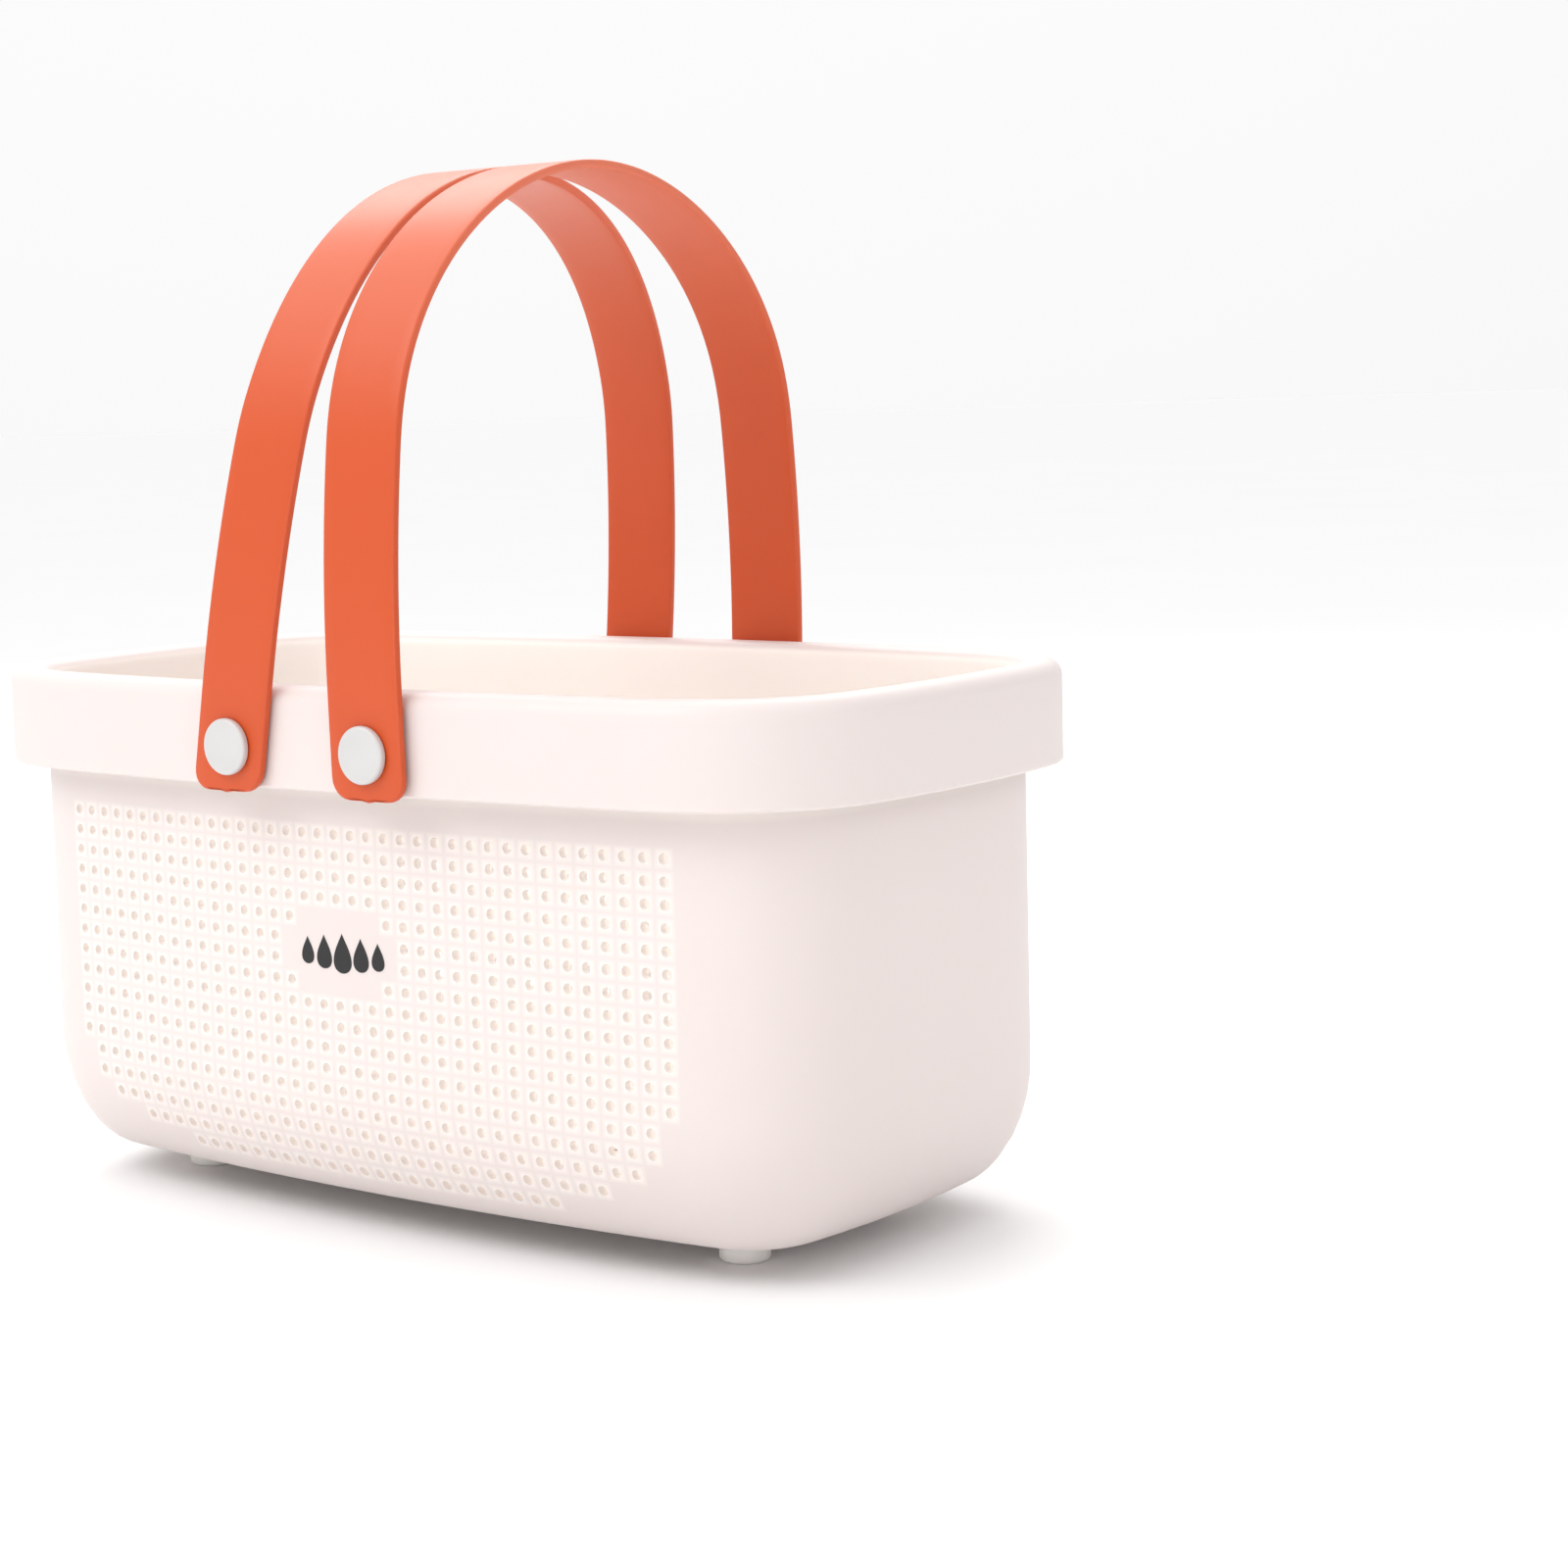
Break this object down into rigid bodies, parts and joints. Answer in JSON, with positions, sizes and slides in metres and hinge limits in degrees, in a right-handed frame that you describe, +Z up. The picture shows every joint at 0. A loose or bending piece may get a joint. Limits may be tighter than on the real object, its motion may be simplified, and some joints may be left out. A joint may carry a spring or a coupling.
{
  "type": "shower caddy",
  "caption": "Perforated moulded bathroom caddy with a rolled rim, plug-in feet and two riveted strap handles that fold down over its ends.",
  "frame": {"origin": "middle of the footprint, on the surface the feet stand on", "axes": "+X along the length towards the right end, -Y towards the printed front, +Z up"},
  "size_m": [0.315, 0.1888, 0.2982],
  "materials": {
    "tub_plastic": "satin warm white moulded plastic",
    "strap_plastic": "satin orange flexible plastic",
    "foot_plastic": "matt warm grey plastic",
    "rivet_plastic": "glossy white plastic",
    "print_ink": "matt black printing ink"
  },
  "bodies": {
    "tub": {"basket_tub": "tub_plastic", "foot_front_left": "foot_plastic", "foot_front_right": "foot_plastic", "foot_back_left": "foot_plastic", "foot_back_right": "foot_plastic", "rivet_front_left": "rivet_plastic", "rivet_front_right": "rivet_plastic", "rivet_back_left": "rivet_plastic", "rivet_back_right": "rivet_plastic", "rivet_cap_front_left": "rivet_plastic", "rivet_cap_front_right": "rivet_plastic", "rivet_cap_back_left": "rivet_plastic", "rivet_cap_back_right": "rivet_plastic"},
    "left_strap": {"handle_strap_left": "strap_plastic"},
    "right_strap": {"handle_strap_right": "strap_plastic"}
  },
  "joints": [
    {"name": "left_strap_fold", "type": "hinge", "parent": "tub", "child": "left_strap", "pos_m": [-0.0255, 0, 0.1395], "axis": [0, -1, 0], "range_deg": [0, 122]},
    {"name": "right_strap_fold", "type": "hinge", "parent": "tub", "child": "right_strap", "pos_m": [0.0255, 0, 0.1395], "axis": [0, 1, 0], "range_deg": [0, 116]}
  ]
}
